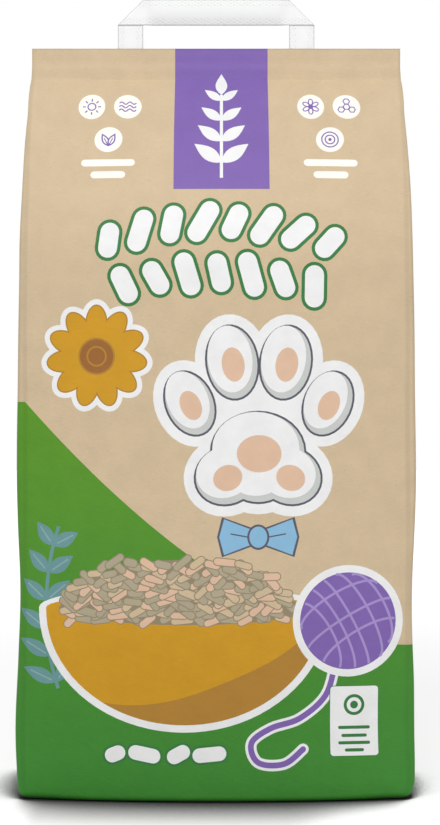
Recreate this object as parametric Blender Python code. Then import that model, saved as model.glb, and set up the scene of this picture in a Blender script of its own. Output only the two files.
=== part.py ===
"""A sealed paper sack of cat litter, with tucked side gussets, a folded block bottom and
a carry handle of folded tape glued into its top seam.

Metres, +Z up. The front panel faces -Y. The origin is at the middle of the base, on the
plane that the sack stands on.
"""

import math

import bmesh
import bpy
from mathutils import Vector

# Paper tube, laid flat
PANEL_WIDTH = 0.239
GUSSET_WIDTH = 0.106
SACK_HEIGHT = 0.4765
PAPER_STEP = 0.0003

# Top seam, glued flat, with the gussets pressed shut inside it
SEAM_DEPTH = 0.020
SEAM_THICKNESS = 0.0024
SEAM_SLIT = 0.0006

# Shoulder, where the gussets swing open below the seam
SHOULDER_DROP = 0.125
SHOULDER_WIDTH = 0.2450

# Filled body: its widths from side to side at some heights, and how full it is
BELLY_HEIGHT = 0.206
BELLY_WIDTH = 0.2480
WAIST_HEIGHT = 0.126
WAIST_WIDTH = 0.2437
FOOT_HEIGHT = 0.046
FOOT_WIDTH = 0.2481
BASE_WIDTH = 0.2462
PANEL_CROWN = 0.0140
BASE_CROWN = 0.0095
CORNER_RADIUS = 0.0040
GUSSET_LEAN = math.radians(2.0)

# Block bottom: two long flaps folded in over the ends, the front one last
BASE_ROUNDING = 0.0068
FLAP_OVERLAP = 0.0120
FLAP_INSET = 0.0020

# Glued lap that closes the tube, down the back panel
LAP_EDGE = 0.0500
LAP_WIDTH = 0.0200
LAP_FADE = 0.0080

# Carry handle of flat tape, folded over at two mitred corners
HANDLE_WIDTH = 0.1276
HANDLE_RISE = 0.0316
TAPE_WIDTH = 0.0164
TAPE_THICKNESS = 0.0007
TAPE_FOLD_GAP = 0.0003
LEG_TUCK = 0.0160
LEG_CLEARANCE = 0.0003

# Facets
PANEL_STEPS = 9
CORNER_STEPS = 4
WALL_STEPS = 6
ROUNDING_STEPS = 4
BODY_STEPS = 20
SHOULDER_STEPS = 20
FOLD_STEPS = 8
SHARP_ANGLE = math.radians(30)

# Printed fields of the front panel
PURPLE_FIELD_MIDDLE = 0.0034
PURPLE_FIELD_WIDTH = 0.0600
PURPLE_FIELD_HEIGHT = 0.0980
GROUND_HIGH = 0.247
GROUND_LOW = 0.0965
GROUND_SWEEP = 1.75

# Colours, linear
KRAFT = (0.62, 0.48, 0.32, 1.0)
GROUND_GREEN = (0.072, 0.24, 0.034, 1.0)
FIELD_PURPLE = (0.25, 0.15, 0.47, 1.0)
TAPE_WHITE = (0.86, 0.87, 0.87, 1.0)
PAPER_ROUGHNESS = 0.62
TAPE_ROUGHNESS = 0.50

SEAM_FOOT = SACK_HEIGHT - SEAM_DEPTH
SHOULDER_HEIGHT = SEAM_FOOT - SHOULDER_DROP
SEAM_GUSSET_ANGLE = math.asin(SEAM_SLIT / GUSSET_WIDTH)
SEAM_FOLD_RADIUS = (SEAM_THICKNESS - SEAM_SLIT) / 4
BASE_LEVEL = 2 * PAPER_STEP


def eased(height, stations):
    """The value at a height, eased between (height, value) stations in rising order."""
    for (low, start), (high, end) in zip(stations, stations[1:]):
        if height <= high:
            share = max(0.0, (height - low) / (high - low))
            return start + (end - start) * (1 - math.cos(math.pi * share)) / 2
    return stations[-1][1]


def shoulder_share(height):
    """0 at the seam, where the gussets are shut, and 1 from the shoulder down."""
    return min(1.0, max(0.0, (SEAM_FOOT - height) / SHOULDER_DROP))


def half_width(height):
    """Half the sack's width, which its front and back outline show."""
    if height >= SHOULDER_HEIGHT:
        opened = math.sin(math.pi / 2 * shoulder_share(height))
        return (PANEL_WIDTH + (SHOULDER_WIDTH - PANEL_WIDTH) * opened) / 2
    stations = (
        (0.0, BASE_WIDTH),
        (FOOT_HEIGHT, FOOT_WIDTH),
        (WAIST_HEIGHT, WAIST_WIDTH),
        (BELLY_HEIGHT, BELLY_WIDTH),
        (SHOULDER_HEIGHT, SHOULDER_WIDTH),
    )
    return eased(height, stations) / 2


def panel_crown(height):
    """How far the litter bows the middle of a panel past its side folds."""
    if height >= SHOULDER_HEIGHT:
        return PANEL_CROWN * math.sin(math.pi / 2 * shoulder_share(height))
    return eased(height, ((0.0, BASE_CROWN), (BELLY_HEIGHT, PANEL_CROWN)))


def fold_radius(height):
    """Rounding of the fold between a panel and its gusset."""
    opened = shoulder_share(height)
    return SEAM_FOLD_RADIUS + (CORNER_RADIUS - SEAM_FOLD_RADIUS) * opened


def gusset_angle(height):
    """Angle of a gusset wall: near 0 folded flat in the seam, near 90 degrees opened."""
    opened = shoulder_share(height)
    body = math.pi / 2 - GUSSET_LEAN * min(1.0, height / FOOT_HEIGHT)
    return SEAM_GUSSET_ANGLE + (body - SEAM_GUSSET_ANGLE) * opened


def quarter_section(height):
    """Points (x, depth) from the middle of a panel, round its side fold, to the crease
    down the middle of the gusset, where the depth is 0. The paper's length round the
    sack is the same at every height."""
    width = half_width(height)
    radius = fold_radius(height)
    angle = gusset_angle(height)
    crown = panel_crown(height)
    tilt = math.atan2(2 * crown, width - radius)
    panel = width - radius * (1 - math.sin(tilt))
    panel_length = panel + 2 * crown * crown / (3 * panel)
    fold_sweep = math.pi - angle - tilt
    quarter_tube = (PANEL_WIDTH + GUSSET_WIDTH) / 2
    wall = quarter_tube - panel_length - radius * fold_sweep
    fold_depth = radius * math.cos(angle) + wall * math.sin(angle)
    edge_depth = fold_depth + radius * math.cos(tilt)

    points = []
    for step in range(PANEL_STEPS):
        share = step / PANEL_STEPS
        points.append((panel * share, edge_depth + crown * (1 - share * share)))
    for step in range(CORNER_STEPS + 1):
        turned = tilt + fold_sweep * step / CORNER_STEPS
        x = width - radius + radius * math.sin(turned)
        points.append((x, fold_depth + radius * math.cos(turned)))
    fold_x, wall_depth = points[-1]
    for step in range(1, WALL_STEPS + 1):
        share = step / WALL_STEPS
        x = fold_x - wall * math.cos(angle) * share
        points.append((x, wall_depth * (1 - share)))
    return points


def lap_thickness(x):
    """Extra paper on the back panel at x, where the tube's two edges are glued."""
    if not LAP_EDGE <= x <= LAP_EDGE + LAP_WIDTH + LAP_FADE:
        return 0.0
    past = max(0.0, x - LAP_EDGE - LAP_WIDTH)
    return PAPER_STEP * (1 - past / LAP_FADE)


def back_points(quarter):
    """The back half from +X to -X, with a step where the lap's free edge lies."""
    right = [(x, depth + lap_thickness(x)) for x, depth in reversed(quarter)]
    left = [(-x, depth) for x, depth in quarter[1:]]
    for place in range(len(right) - 1):
        (outer, far_depth), (inner, near_depth) = right[place], right[place + 1]
        if inner < LAP_EDGE <= outer and near_depth > far_depth - PAPER_STEP:
            share = (outer - LAP_EDGE) / (outer - inner)
            depth = far_depth - PAPER_STEP + (near_depth - far_depth + PAPER_STEP) * share
            step = [(LAP_EDGE, depth + PAPER_STEP), (LAP_EDGE - PAPER_STEP, depth)]
            return right[: place + 1] + step + right[place + 1 :] + left
    return right + left


def section(height):
    """The whole outline at a height, as points round from the left gusset crease."""
    quarter = quarter_section(height)
    front_left = [(-x, -depth) for x, depth in reversed(quarter)]
    front_right = [(x, -depth) for x, depth in quarter[1:]]
    back = back_points(quarter)
    return front_left + front_right + back[1:-1]


def base_ring(turned):
    """The outline on the rounding round the base, turned from 0 underneath to 90 degrees
    where it meets the wall."""
    inward = BASE_ROUNDING * (1 - math.sin(turned))
    height = BASE_LEVEL + BASE_ROUNDING * (1 - math.cos(turned))
    width = half_width(height)
    depth = max(y for _, y in section(height))
    across = 1 - inward / width
    along = 1 - inward / depth
    return [Vector((x * across, y * along, height)) for x, y in section(height)]


def sack_rings():
    """Outlines from the base to the cut top edge."""
    rings = []
    for step in range(ROUNDING_STEPS + 1):
        rings.append(base_ring(math.pi / 2 * step / ROUNDING_STEPS))
    wall_foot = BASE_LEVEL + BASE_ROUNDING
    heights = []
    for step in range(1, BODY_STEPS + 1):
        heights.append(wall_foot + (SHOULDER_HEIGHT - wall_foot) * step / BODY_STEPS)
    for step in range(1, SHOULDER_STEPS + 1):
        heights.append(SHOULDER_HEIGHT + SHOULDER_DROP * step / SHOULDER_STEPS)
    heights.append(SEAM_FOOT + SEAM_DEPTH / 2)
    heights.append(SACK_HEIGHT)
    for height in heights:
        rings.append([Vector((x, y, height)) for x, y in section(height)])
    return rings


def lofted(name, rings):
    """One closed solid through outlines that all have the same number of points."""
    bm = bmesh.new()
    loops = []
    for ring in rings:
        verts = [bm.verts.new(point) for point in ring]
        edges = [bm.edges.new((a, b)) for a, b in zip(verts, verts[1:] + verts[:1])]
        loops.append(edges)
        if ring is rings[0] or ring is rings[-1]:
            bm.faces.new(verts)
    for lower, upper in zip(loops, loops[1:]):
        bmesh.ops.bridge_loops(bm, edges=lower + upper)
    bmesh.ops.recalc_face_normals(bm, faces=bm.faces)
    return placed(name, bm)


def placed(name, bm):
    """Puts a finished bmesh in the scene as a named object."""
    mesh = bpy.data.meshes.new(name)
    bm.to_mesh(mesh)
    bm.free()
    obj = bpy.data.objects.new(name, mesh)
    bpy.context.scene.collection.objects.link(obj)
    return obj


def prism(name, corners, low, high):
    """A helper solid: an outline in the XY plane, raised from low to high."""
    bm = bmesh.new()
    bottom = bm.faces.new([bm.verts.new((x, y, low)) for x, y in corners])
    raised = bmesh.ops.extrude_face_region(bm, geom=[bottom])
    moved = [item for item in raised["geom"] if isinstance(item, bmesh.types.BMVert)]
    bmesh.ops.translate(bm, verts=moved, vec=(0, 0, high - low))
    bmesh.ops.recalc_face_normals(bm, faces=bm.faces)
    obj = placed(name, bm)
    obj.hide_render = True
    obj.display_type = "WIRE"
    return obj


def combine(target, helper, operation):
    """Joins a helper solid to the target, or cuts it away."""
    modifier = target.modifiers.new(helper.name, "BOOLEAN")
    modifier.operation = operation
    modifier.solver = "EXACT"
    modifier.object = helper


def base_flap(name, side, level):
    """A long flap of the block bottom, its ends mitred at 45 degrees. side is -1 for the
    flap from the front fold and 1 for the one from the back."""
    fold = max(y for _, y in quarter_section(BASE_LEVEL)) - BASE_CROWN - BASE_ROUNDING
    half_length = BASE_WIDTH / 2 - BASE_ROUNDING - FLAP_INSET
    narrowed = half_length - fold - FLAP_OVERLAP
    corners = [
        (-half_length, side * fold),
        (half_length, side * fold),
        (narrowed, -side * FLAP_OVERLAP),
        (-narrowed, -side * FLAP_OVERLAP),
    ]
    return prism(name, corners, level, BASE_LEVEL + PAPER_STEP)


def leg_place():
    """Distance of a handle leg's middle from the middle of the sack."""
    return (HANDLE_WIDTH - TAPE_WIDTH) / 2


def leg_pocket(name, side):
    """The gap between the seam's layers that a handle leg is glued into."""
    middle = side * leg_place()
    reach = TAPE_WIDTH / 2 + LEG_CLEARANCE
    depth = TAPE_THICKNESS / 2 + LEG_CLEARANCE
    corners = [
        (middle - reach, -depth),
        (middle + reach, -depth),
        (middle + reach, depth),
        (middle - reach, depth),
    ]
    foot = SACK_HEIGHT - LEG_TUCK - LEG_CLEARANCE
    return prism(name, corners, foot, SACK_HEIGHT + LEG_TUCK)


def litter_bag():
    """The filled sack: tube, shoulder, seam, block bottom and the handle's pockets."""
    sack = lofted("litter_bag", sack_rings())
    combine(sack, base_flap("back_flap", 1, PAPER_STEP), "UNION")
    combine(sack, base_flap("front_flap", -1, 0.0), "UNION")
    combine(sack, leg_pocket("left_pocket", -1), "DIFFERENCE")
    combine(sack, leg_pocket("right_pocket", 1), "DIFFERENCE")
    return sack


def fold_over(bm, point, beyond, lift, radius):
    """Folds the sheet back on itself along the line through point, square to beyond.
    What lies past the line turns over towards lift, round a bend of the given radius."""
    bend = math.pi * radius
    start = point - beyond * bend / 2
    for step in range(FOLD_STEPS + 1):
        geometry = bm.verts[:] + bm.edges[:] + bm.faces[:]
        line = start + beyond * bend * step / FOLD_STEPS
        bmesh.ops.bisect_plane(bm, geom=geometry, plane_co=line, plane_no=beyond)
    for vert in bm.verts:
        past = (vert.co - start).dot(beyond)
        if past <= 0:
            continue
        turned = min(past / radius, math.pi)
        returned = past - turned * radius
        along = radius * math.sin(turned) - returned
        vert.co += beyond * (along - past) + lift * radius * (1 - math.cos(turned))


def carry_handle():
    """One length of tape: up from the seam, across in front, and down again."""
    radius = (TAPE_THICKNESS + TAPE_FOLD_GAP) / 2
    leg = leg_place()
    foot = SACK_HEIGHT - LEG_TUCK
    grip = SACK_HEIGHT + HANDLE_RISE - TAPE_WIDTH / 2
    length = 2 * (grip - foot) + 2 * leg

    bm = bmesh.new()
    left, right = -leg - TAPE_WIDTH / 2, -leg + TAPE_WIDTH / 2
    ends = ((left, foot), (right, foot), (right, foot + length), (left, foot + length))
    bm.faces.new([bm.verts.new((x, 0, z)) for x, z in ends])
    forward = Vector((0, -1, 0))
    up_left = Vector((-1, 0, 1)).normalized()
    up_right = Vector((1, 0, 1)).normalized()
    fold_over(bm, Vector((-leg, 0, grip)), up_left, forward, radius)
    fold_over(bm, Vector((leg, 0, grip)), up_right, -forward, radius)

    handle = placed("carry_handle", bm)
    thickness = handle.modifiers.new("tape thickness", "SOLIDIFY")
    thickness.thickness = TAPE_THICKNESS
    thickness.offset = 0
    thickness.use_even_offset = True
    return handle


def finish(name, colour, roughness):
    """A plain surface finish, with its shader returned for more to be linked to it."""
    material = bpy.data.materials.new(name)
    material.use_nodes = True
    shader = material.node_tree.nodes["Principled BSDF"]
    shader.inputs["Base Color"].default_value = colour
    shader.inputs["Roughness"].default_value = roughness
    shader.inputs["Metallic"].default_value = 0.0
    material.diffuse_color = colour
    return material, shader


def printed_paper():
    """Kraft paper with a green ground that sweeps down to the right and a purple field
    at the top of the front panel."""
    material, shader = finish("printed kraft paper", KRAFT, PAPER_ROUGHNESS)
    tree = material.node_tree
    place = tree.nodes.new("ShaderNodeSeparateXYZ")
    coordinates = tree.nodes.new("ShaderNodeTexCoord")
    tree.links.new(coordinates.outputs["Object"], place.inputs["Vector"])
    across, back, height = place.outputs

    def calculate(operation, *values):
        node = tree.nodes.new("ShaderNodeMath")
        node.operation = operation
        for socket, value in zip(node.inputs, values):
            if isinstance(value, float):
                socket.default_value = value
            else:
                tree.links.new(value, socket)
        return node.outputs["Value"]

    def over(mask, below, colour):
        mix = tree.nodes.new("ShaderNodeMix")
        mix.data_type = "RGBA"
        tree.links.new(mask, mix.inputs["Factor"])
        if isinstance(below, tuple):
            mix.inputs["A"].default_value = below
        else:
            tree.links.new(below, mix.inputs["A"])
        mix.inputs["B"].default_value = colour
        return mix.outputs["Result"]

    right_share = calculate("MULTIPLY_ADD", across, -1 / BELLY_WIDTH, 0.5)
    sweep = calculate("POWER", calculate("MAXIMUM", right_share, 0.0), GROUND_SWEEP)
    edge = calculate("MULTIPLY_ADD", sweep, GROUND_HIGH - GROUND_LOW, GROUND_LOW)
    ground = calculate("LESS_THAN", height, edge)
    from_middle = calculate("SUBTRACT", across, PURPLE_FIELD_MIDDLE)
    off_middle = calculate("ABSOLUTE", from_middle)
    in_width = calculate("LESS_THAN", off_middle, PURPLE_FIELD_WIDTH / 2)
    in_height = calculate("GREATER_THAN", height, SACK_HEIGHT - PURPLE_FIELD_HEIGHT)
    in_front = calculate("LESS_THAN", back, 0.0)
    purple = calculate("MULTIPLY", calculate("MULTIPLY", in_width, in_height), in_front)
    fields = over(purple, over(ground, KRAFT, GROUND_GREEN), FIELD_PURPLE)
    tree.links.new(fields, shader.inputs["Base Color"])
    return material


def main():
    for obj in list(bpy.data.objects):
        bpy.data.objects.remove(obj)
    sack = litter_bag()
    sack.data.materials.append(printed_paper())
    sack.data.shade_smooth()
    sack.data.set_sharp_from_angle(angle=SHARP_ANGLE)
    handle = carry_handle()
    handle.data.materials.append(finish("white tape", TAPE_WHITE, TAPE_ROUGHNESS)[0])


main()
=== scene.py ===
import math
import random

import bmesh
import bpy
from bpy.props import FloatProperty, FloatVectorProperty, IntProperty, PointerProperty
from mathutils import Matrix, Vector, noise
from mathutils.geometry import delaunay_2d_cdt


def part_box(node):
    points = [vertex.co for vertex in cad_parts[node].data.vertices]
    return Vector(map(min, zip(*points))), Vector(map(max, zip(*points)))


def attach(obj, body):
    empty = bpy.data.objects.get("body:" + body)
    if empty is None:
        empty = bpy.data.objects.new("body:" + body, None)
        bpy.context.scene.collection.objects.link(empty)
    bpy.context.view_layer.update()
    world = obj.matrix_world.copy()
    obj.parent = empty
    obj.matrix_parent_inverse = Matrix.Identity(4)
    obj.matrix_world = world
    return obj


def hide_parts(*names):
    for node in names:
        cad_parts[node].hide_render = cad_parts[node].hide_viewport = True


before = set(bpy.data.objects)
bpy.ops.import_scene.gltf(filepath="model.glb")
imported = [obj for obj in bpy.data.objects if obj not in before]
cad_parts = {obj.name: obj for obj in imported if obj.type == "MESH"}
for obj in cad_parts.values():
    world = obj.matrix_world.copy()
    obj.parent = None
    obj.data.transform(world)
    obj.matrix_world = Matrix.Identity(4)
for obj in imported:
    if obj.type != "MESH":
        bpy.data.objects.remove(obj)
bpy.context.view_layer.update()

SACK_LOW, SACK_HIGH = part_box("litter_bag")
HANDLE_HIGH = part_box("carry_handle")[1]
BAND_EDGE = 0.0004       # over which a knurled band of the tape begins

bl_info = {
    "name": "Paper litter sack",
    "version": (1, 0, 0),
    "blender": (4, 5, 0),
    "location": "View3D > Sidebar > Sack",
    "description": "Models a filled paper sack with a tape handle, its print and its studio",
    "category": "Add Mesh",
}


# Properties

def length(name, description, default):
    """A length that a user can change."""
    return FloatProperty(
        name=name, description=description, default=default, min=0.0, precision=4, unit="LENGTH"
    )


def inclination(name, description, degrees):
    """An angle that a user can change."""
    return FloatProperty(
        name=name, description=description, default=math.radians(degrees), subtype="ANGLE"
    )


def colour(name, description, red, green, blue):
    """A colour that a user can change, written in the 0 to 255 values of a picture."""
    linear = []
    for value in (red, green, blue):
        share = value / 255
        linear.append(share / 12.92 if share <= 0.04045 else ((share + 0.055) / 1.055) ** 2.4)
    return FloatVectorProperty(
        name=name, description=description, default=linear, size=3, min=0, max=1, subtype="COLOR"
    )


class SackForm(bpy.types.PropertyGroup):
    """Sizes of the filled sack."""

    panel_width: length("Panel width", "Between the side folds, with the tube flat", 0.239)
    gusset_width: length("Gusset width", "Both walls of one side gusset", 0.106)
    height: length("Height", "From the floor to the cut top edge", SACK_HIGH[2])
    seam_depth: length("Seam depth", "Height of the glued top seam", 0.020)
    seam_thickness: length("Seam thickness", "All the layers of the top seam", 0.0024)
    seam_slit: length("Seam slit", "Opening of the pressed gusset inside the seam", 0.0006)
    shoulder_drop: length("Shoulder drop", "Where the gussets swing open", 0.125)
    shoulder_width: length("Shoulder width", "Across the shoulder", 0.2450)
    belly_height: length("Belly height", "Height of the fullest place", 0.206)
    belly_width: length("Belly width", "Across the fullest place", 0.2480)
    waist_height: length("Waist height", "Height of the slack place above the foot", 0.126)
    waist_width: length("Waist width", "Across the slack place", 0.2437)
    foot_height: length("Foot height", "Height of the widest place near the base", 0.046)
    foot_width: length("Foot width", "Across the foot", SACK_HIGH[0] - SACK_LOW[0])
    base_width: length("Base width", "Across the block bottom", 0.2462)
    panel_crown: length("Panel crown", "How far the litter bows a panel", 0.0140)
    base_crown: length("Base crown", "Bow of a panel at the base", 0.0095)
    corner_radius: length("Corner radius", "Rounding of the side folds", 0.0040)
    base_rounding: length("Base rounding", "Rounding of the block bottom at its corners", 0.0048)
    base_crease: length("Base crease", "Rounding along the block bottom's edges", 0.0032)
    gusset_lean: inclination("Gusset lean", "How far a filled gusset leans in to its crease", 2.0)
    paper_step: length("Paper step", "Thickness that an edge of paper shows", 0.0003)
    lap_edge: length("Lap edge", "Free edge of the glued lap, from the back's middle", 0.0500)
    lap_width: length("Lap width", "Width of the glued lap", 0.0200)
    lap_fade: length("Lap fade", "Where the lap's hidden edge fades out", 0.0080)
    flap_overlap: length("Flap overlap", "How far the base flaps pass the middle", 0.0120)
    flap_inset: length("Flap inset", "From the base's rounding to the flaps' ends", 0.0020)
    slack: length("Slack", "Height of the soft dents in the filled paper", 0.0009)
    crease: length("Crease", "Depth of the crease down the middle of a filled gusset", 0.0005)
    bead: length("Seam bead", "Height of the bead pressed along the seam", 0.00020)
    flare: length("Flare", "How far the side folds swell just below the seam", 0.0008)
    swell: length("Side swell", "How far a side swells by itself where the litter pushes", 0.0010)
    facet: length("Facet", "Spacing of the sheet's mesh", 0.0030)
    pellet_seed: IntProperty(name="Seed", description="Seed of the printed pellets", default=7)


class TapeForm(bpy.types.PropertyGroup):
    """Sizes of the tape handle."""

    width: length("Width", "Over both legs", 0.1276)
    rise: length("Rise", "From the sack's top edge to the grip's", HANDLE_HIGH[2] - SACK_HIGH[2])
    tape_width: length("Tape width", "Of the flat tape", 0.0164)
    thickness: length("Tape thickness", "Of the flat tape", 0.0005)
    fold_gap: length("Fold gap", "Between the layers at a folded corner", 0.0001)
    tuck: length("Leg tuck", "How far a leg reaches into the seam", 0.0160)
    clearance: length("Leg clearance", "Round a leg in its pocket", 0.0003)
    selvedge: length("Selvedge", "Bound edge of the tape", 0.0007)
    knurl_width: length("Knurl width", "Knurled band along each edge", 0.0042)
    knurl_pitch: length("Knurl pitch", "Spacing of the knurls", 0.0042)
    knurl_height: length("Knurl height", "Height of the knurls", 0.00010)
    bow: length("Bow", "How far the grip's middle stands proud of its edges", 0.0014)
    droop: inclination("Droop", "How far the grip's left end hangs forward", 8.0)
    facet: length("Facet", "Spacing of the tape's mesh", 0.00042)


class PackColours(bpy.types.PropertyGroup):
    """The bare paper, the inks of the print and the tape."""

    kraft: colour("Kraft", "Unprinted paper", 211, 188, 154)
    green: colour("Green", "Ground of the print, at its top", 86, 145, 26)
    low_green: colour("Low green", "Ground of the print, at the base", 55, 132, 40)
    deep_green: colour("Deep green", "Outlines of the white shapes", 47, 118, 56)
    purple: colour("Purple", "Field at the top of the panel", 127, 98, 174)
    light_purple: colour("Light purple", "Strands of the ball", 168, 146, 206)
    cream: colour("Cream", "Discs", 252, 250, 243)
    white: colour("White", "White shapes", 243, 243, 243)
    grey: colour("Grey", "Shade of the white shapes", 203, 206, 203)
    peach: colour("Peach", "Warm accents", 226, 190, 162)
    sky: colour("Sky", "Bow", 138, 187, 219)
    charcoal: colour("Charcoal", "Outlines", 84, 84, 96)
    gold: colour("Gold", "Tub and petals", 208, 153, 24)
    dark_gold: colour("Dark gold", "Shade of the tub", 178, 129, 46)
    brown: colour("Brown", "Middle of the blossom", 153, 99, 41)
    teal: colour("Teal", "Garland", 104, 150, 152)
    light_teal: colour("Light teal", "Veins of the garland", 139, 172, 170)
    pellet: colour("Pellet", "Wood pellets", 178, 166, 140)
    dark_pellet: colour("Dark pellet", "Wood pellets in shade", 147, 134, 108)
    tape: colour("Tape", "Handle", 246, 248, 247)


class StudioForm(bpy.types.PropertyGroup):
    """Camera and stage."""

    distance: length("Camera distance", "From the seam's plane to the lens", 1.111)
    camera_height: length("Camera height", "Of the level line of sight", 0.2404)
    sideways: length("Camera offset", "To the right of the sack's middle", 0.0025)
    frame_height: length("Frame height", "Height that the picture spans in the seam's plane", 0.5360)
    floor_size: length("Floor size", "Side of the floor", 12.0)
    sensor: FloatProperty(name="Sensor", description="Height of the sensor in mm", default=36.0)


# The folded tube of paper

def eased(height, stations):
    """The value at a height, eased between (height, value) stations in rising order."""
    for (low, start), (high, end) in zip(stations, stations[1:]):
        if height <= high:
            share = max(0.0, (height - low) / (high - low))
            return start + (end - start) * (1 - math.cos(math.pi * share)) / 2
    return stations[-1][1]


def soft_step(value, low, high):
    """0 below low and 1 above high, with a smooth rise between them."""
    share = min(1.0, max(0.0, (value - low) / (high - low)))
    return share * share * (3 - 2 * share)


def bump(value, middle, reach):
    """A smooth bump, 1 at the middle and 0 from reach away."""
    off = min(1.0, abs(value - middle) / reach)
    return (1 + math.cos(math.pi * off)) / 2


# Both side folds' swells below the seam: how far below, reach and share of the flare
SEAM_SWELLS = ((0.007, 0.016, 1.0), (0.017, 0.011, 0.4))
# Where a side swells by itself: side, height, reach along the side and share of the swell
SIDE_SWELLS = (
    (1, 0.285, 0.075, 0.6),
    (1, 0.185, 0.080, 1.0),
    (1, 0.050, 0.035, -0.5),
    (1, 0.012, 0.030, 0.5),
    (1, 0.000, 0.012, -2.2),
    (-1, 0.000, 0.010, -0.8),
    (-1, 0.380, 0.040, -0.5),
    (-1, 0.290, 0.050, 0.4),
    (-1, 0.130, 0.040, -0.4),
    (-1, 0.038, 0.050, 0.9),
)


class PaperTube:
    """Where a place on the flat sheet lies on the filled sack.

    A place is (across, up): across runs round the tube to the right from the middle of the
    front panel, and up is height, with the rounding round the base below the wall's foot.
    """

    def __init__(self, form):
        for name in form.__annotations__:
            setattr(self, name, getattr(form, name))
        self.quarter = (self.panel_width + self.gusset_width) / 2
        self.seam_foot = self.height - self.seam_depth
        self.shoulder_height = self.seam_foot - self.shoulder_drop
        self.base_level = 2 * self.paper_step
        self.wall_foot = self.base_level + self.base_rounding
        self.lowest = self.wall_foot - self.base_rounding * math.pi / 2
        self.seam_angle = math.asin(self.seam_slit / self.gusset_width)
        self.seam_radius = (self.seam_thickness - self.seam_slit) / 4
        self.right_end = 2 * self.quarter - self.lap_edge
        self.left_end = self.right_end - 4 * self.quarter

    def wrapped(self, across):
        """The same place, counted from the front's middle the shorter way round."""
        turns = 4 * self.quarter
        return (across + turns / 2) % turns - turns / 2

    def opened(self, height):
        """0 in the seam, where the gussets are shut, and 1 from the shoulder down."""
        return min(1.0, max(0.0, (self.seam_foot - height) / self.shoulder_drop))

    def half_width(self, height):
        """From the sack's middle to its side folds."""
        if height >= self.shoulder_height:
            share = math.sin(math.pi / 2 * self.opened(height))
            below = self.seam_foot - height
            swell = sum(part * bump(below, middle, reach) for middle, reach, part in SEAM_SWELLS)
            wide = self.panel_width + (self.shoulder_width - self.panel_width) * share
            return wide / 2 + self.flare * swell
        stations = (
            (0.0, self.base_width),
            (self.foot_height, self.foot_width),
            (self.waist_height, self.waist_width),
            (self.belly_height, self.belly_width),
            (self.shoulder_height, self.shoulder_width),
        )
        return eased(height, stations) / 2

    def crown(self, height):
        """How far a panel bows."""
        if height >= self.shoulder_height:
            return self.panel_crown * math.sin(math.pi / 2 * self.opened(height))
        return eased(height, ((0.0, self.base_crown), (self.belly_height, self.panel_crown)))

    def fold_radius(self, height):
        """Rounding of the side folds."""
        return self.seam_radius + (self.corner_radius - self.seam_radius) * self.opened(height)

    def gusset_angle(self, height):
        """Between a gusset's wall and the plane of its crease and the other gusset's."""
        body = math.pi / 2 - self.gusset_lean * min(1.0, height / self.foot_height)
        return self.seam_angle + (body - self.seam_angle) * self.opened(height)

    def quarter_point(self, across, height):
        """(x, depth) of a place on the quarter from a panel's middle to a gusset crease."""
        width = self.half_width(height)
        radius = self.fold_radius(height)
        angle = self.gusset_angle(height)
        crown = self.crown(height)
        tilt = math.atan2(2 * crown, width - radius)
        panel = width - radius * (1 - math.sin(tilt))
        panel_length = panel + 2 * crown * crown / (3 * panel)
        sweep = math.pi - angle - tilt
        wall = self.quarter - panel_length - radius * sweep
        fold_depth = radius * math.cos(angle) + wall * math.sin(angle)
        if across <= panel_length:
            share = across / panel_length
            edge_depth = fold_depth + radius * math.cos(tilt)
            return panel * share, edge_depth + crown * (1 - share * share)
        if across <= panel_length + radius * sweep:
            turned = tilt + (across - panel_length) / radius
            x = width - radius + radius * math.sin(turned)
            return x, fold_depth + radius * math.cos(turned)
        share = (across - panel_length - radius * sweep) / wall
        end = tilt + sweep
        fold_x = width - radius + radius * math.sin(end)
        wall_depth = fold_depth + radius * math.cos(end)
        return fold_x - wall * math.cos(angle) * share, wall_depth * (1 - share)

    def section_point(self, across, height):
        """(x, y) of a place at a height, on the smooth form."""
        across = self.wrapped(across)
        off = abs(across)
        on_back = off > self.quarter
        if on_back:
            off = 2 * self.quarter - off
        x, depth = self.quarter_point(off, height)
        share = x / self.half_width(height)
        for side, middle, reach, amount in SIDE_SWELLS:
            if side * across > 0:
                x += self.swell * amount * share * bump(height, middle, reach)
        return math.copysign(x, across), depth if on_back else -depth

    def lap(self, across):
        """Extra paper where the tube's two edges are glued, near its right end."""
        inside = self.right_end - across
        if inside <= self.lap_width:
            return self.paper_step
        past = inside - self.lap_width
        return self.paper_step * max(0.0, 1 - past / self.lap_fade)

    def dents(self, across, height, x, y):
        """Soft dents and swells of the filled paper, along its outward normal."""
        # the paper is taut at the seam, the base and the side folds
        free = soft_step(self.seam_foot - height, 0.0, 0.060)
        free *= soft_step(height, 0.012, 0.070)
        from_fold = abs(abs(across) % (2 * self.quarter) - self.panel_width / 2)
        free *= 0.35 + 0.65 * soft_step(from_fold, 0.0, 0.030)
        # broad dents, and smaller ones over them
        swell = noise.noise(Vector((x / 0.080, y / 0.060 + 3.1, height / 0.120)))
        ripple = noise.noise(Vector((x / 0.034 + 9.7, y / 0.034, height / 0.052)))
        from_crease = abs(abs(across) - self.quarter)
        in_gusset = soft_step(self.gusset_width / 2 - from_crease, 0.0, 0.020)
        crease = self.crease * math.exp(-((from_crease / 0.0016) ** 2))
        deep = self.slack * free * (1 + 0.8 * in_gusset)
        filled = soft_step(height, 0.0, 0.030) * soft_step(self.seam_foot - height, 0.0, 0.040)
        return deep * (swell + 0.32 * ripple) - crease * filled

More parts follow.
